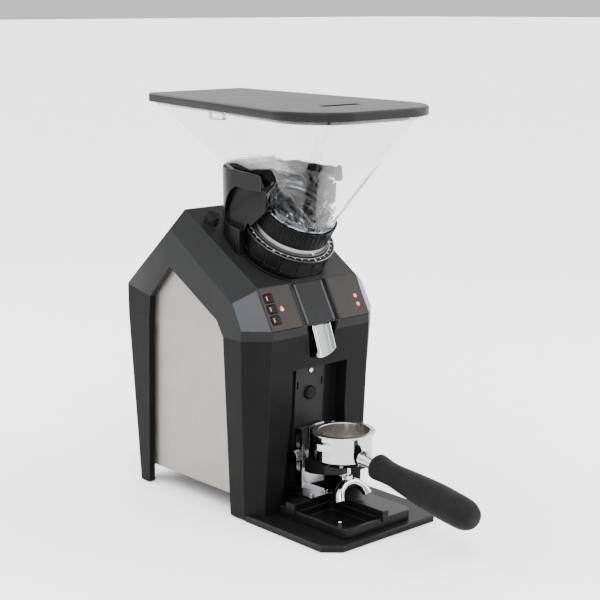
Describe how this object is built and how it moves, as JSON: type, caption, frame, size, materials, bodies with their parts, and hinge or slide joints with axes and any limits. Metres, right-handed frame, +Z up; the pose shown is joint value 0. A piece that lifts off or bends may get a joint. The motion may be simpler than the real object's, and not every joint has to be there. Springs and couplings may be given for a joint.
{
  "type": "burr coffee grinder",
  "caption": "Upright espresso grinder with sloped roof, tilted stepped dial head, clear funnel hopper with dark lid, holder fork, catch tray and a portafilter.",
  "frame": {"origin": "on the underside plane of the base plate, at the middle of the grinder's width, below the line where the front face meets the floor", "axes": "+Z up, -Y towards the user (the side with the spout and the holder), +X to the right as the user sees it, 1 unit = 1 m"},
  "size_m": [0.1916, 0.4603, 0.4489],
  "materials": {
    "aluminium": "cast, plain",
    "base_black": "fine textured black",
    "burr_steel": "ground",
    "button_black": "dark, satin",
    "chrome": "mirror",
    "circuit_green": "satin",
    "collar_black": "satin black, ribbed",
    "copper_windings": "varnished",
    "cradle_black": "satin black",
    "dial_black": "satin black",
    "feet_rubber": "matt",
    "fork_black": "satin black",
    "gate_clear": "clear, glossy",
    "hopper_clear": "clear, glossy",
    "housing_plastic": "fine textured, matte",
    "index_metal": "satin",
    "lid_black": "semi-gloss",
    "light_red": "lit red",
    "panel_glass": "smoked, glossy",
    "rubber_grip": "matt, smooth",
    "side_metal": "satin, warm grey",
    "steel": "bright, brushed",
    "tray_black": "satin black"
  },
  "bodies": {
    "housing": {"base_plate": "base_black", "base_screws": "chrome", "burr_tower": "aluminium", "control_board": "circuit_green", "control_glass_left": "panel_glass", "control_glass_right": "panel_glass", "corner_glasses": "panel_glass", "cover_frame": "housing_plastic", "floor_pan": "housing_plastic", "front_housing": "housing_plastic", "grinding_chamber": "aluminium", "holder_bracket": "steel", "hopper_cradle": "cradle_black", "index_ring": "index_metal", "indicator_lights": "light_red", "motor_bearings": "steel", "motor_body": "aluminium", "motor_mount": "aluminium", "motor_stator": "copper_windings", "outlet_duct": "aluminium", "panel_screws": "chrome", "power_inlet": "button_black", "rear_housing": "housing_plastic", "roof_flange": "dial_black", "rubber_feet": "feet_rubber", "service_plate": "housing_plastic", "side_panel_left": "side_metal", "side_panel_right": "side_metal", "spout": "chrome", "spout_housing": "housing_plastic", "top_housing": "housing_plastic"},
    "rotor": {"motor_shaft": "steel", "lower_burr_carrier": "aluminium", "lower_burr": "burr_steel", "rotor_core": "copper_windings", "cooling_fan": "fork_black"},
    "dial": {"adjustment_dial": "dial_black"},
    "upper_burr_unit": {"upper_burr_carrier": "aluminium", "upper_burr": "burr_steel"},
    "collar": {"lock_collar": "collar_black"},
    "latch": {"collar_latch": "button_black"},
    "hopper": {"hopper": "hopper_clear"},
    "gate": {"hopper_gate": "gate_clear"},
    "lid": {"hopper_lid": "lid_black"},
    "chute_cover": {"chute_cover": "housing_plastic"},
    "dose_button_1": {"dose_button_1": "button_black"},
    "dose_button_2": {"dose_button_2": "button_black"},
    "dose_button_3": {"dose_button_3": "button_black"},
    "start_button": {"start_button": "button_black"},
    "rocker": {"power_switch": "button_black"},
    "cradle_knob": {"cradle_knob": "button_black"},
    "fork_carriage": {"fork_carriage": "steel", "fork": "fork_black"},
    "thumb_screw": {"thumb_screw": "steel"},
    "portafilter": {"portafilter_body": "chrome", "filter_basket": "steel", "portafilter_spout": "chrome", "portafilter_handle": "rubber_grip"},
    "catch_tray": {"catch_tray": "tray_black", "tray_frame": "tray_black"}
  },
  "joints": [
    {"name": "burr_spin", "type": "hinge", "parent": "housing", "child": "rotor", "pos_m": [0, 0.065, 0.27941], "axis": [0, -0.518, 0.8554], "continuous": true},
    {"name": "grind_adjust", "type": "hinge", "parent": "housing", "child": "dial", "pos_m": [0, 0.065, 0.27941], "axis": [0, -0.518, 0.8554], "range_deg": [-168, 168]},
    {"name": "burr_gap", "type": "slide", "parent": "housing", "child": "upper_burr_unit", "axis": [0, -0.518, 0.8554], "range_m": [-0.0007, 0.0007]},
    {"name": "collar_turn", "type": "hinge", "parent": "housing", "child": "collar", "pos_m": [0, 0.065, 0.27941], "axis": [0, -0.518, 0.8554], "range_deg": [0, 35]},
    {"name": "latch_push", "type": "slide", "parent": "collar", "child": "latch", "axis": [-0.1736, 0.8424, 0.5102], "range_m": [0, 0.0015], "stiffness_N_per_m": 600, "springref_m": -0.0005},
    {"name": "hopper_lift", "type": "slide", "parent": "housing", "child": "hopper", "axis": [0, -0.518, 0.8554], "range_m": [0, 0.06]},
    {"name": "gate_turn", "type": "hinge", "parent": "hopper", "child": "gate", "pos_m": [0, 0.04013, 0.32047], "axis": [0, -0.518, 0.8554], "range_deg": [0, 80]},
    {"name": "lid_lift", "type": "slide", "parent": "hopper", "child": "lid", "axis": [0, 0, 1], "range_m": [0, 0.06]},
    {"name": "chute_cover_pull", "type": "slide", "parent": "housing", "child": "chute_cover", "axis": [0, -0.8695, 0.494], "range_m": [0, 0.03]},
    {"name": "dose_press_1", "type": "slide", "parent": "housing", "child": "dose_button_1", "axis": [0, 0.8695, -0.494], "range_m": [0, 0.001], "stiffness_N_per_m": 900, "springref_m": -0.0004},
    {"name": "dose_press_2", "type": "slide", "parent": "housing", "child": "dose_button_2", "axis": [0, 0.8695, -0.494], "range_m": [0, 0.001], "stiffness_N_per_m": 900, "springref_m": -0.0004},
    {"name": "dose_press_3", "type": "slide", "parent": "housing", "child": "dose_button_3", "axis": [0, 0.8695, -0.494], "range_m": [0, 0.001], "stiffness_N_per_m": 900, "springref_m": -0.0004},
    {"name": "start_press", "type": "slide", "parent": "housing", "child": "start_button", "axis": [0, 1, 0], "range_m": [0, 0.003], "stiffness_N_per_m": 700, "springref_m": -0.001},
    {"name": "power_rock", "type": "hinge", "parent": "housing", "child": "rocker", "pos_m": [-0.03, 0.232, 0.06], "axis": [1, 0, 0], "range_deg": [-10, 10]},
    {"name": "knob_turn", "type": "hinge", "parent": "housing", "child": "cradle_knob", "pos_m": [-0.054, 0.12026, 0.31288], "axis": [0, -0.518, 0.8554], "range_deg": [0, 355]},
    {"name": "fork_height", "type": "slide", "parent": "housing", "child": "fork_carriage", "axis": [0, 0, 1], "range_m": [0, 0.02]},
    {"name": "thumb_turn", "type": "hinge", "parent": "fork_carriage", "child": "thumb_screw", "pos_m": [-0.02, 0.017, 0.064], "axis": [1, 0, 0], "range_deg": [0, 355]},
    {"name": "portafilter_out", "type": "slide", "parent": "fork_carriage", "child": "portafilter", "axis": [0, -1, 0], "range_m": [0, 0.1]},
    {"name": "tray_out", "type": "slide", "parent": "housing", "child": "catch_tray", "axis": [0, -1, 0], "range_m": [0, 0.12]}
  ],
  "couplings": [
    {"joint": "burr_gap", "follows": "grind_adjust", "m_per_rad": 0.00023873}
  ]
}
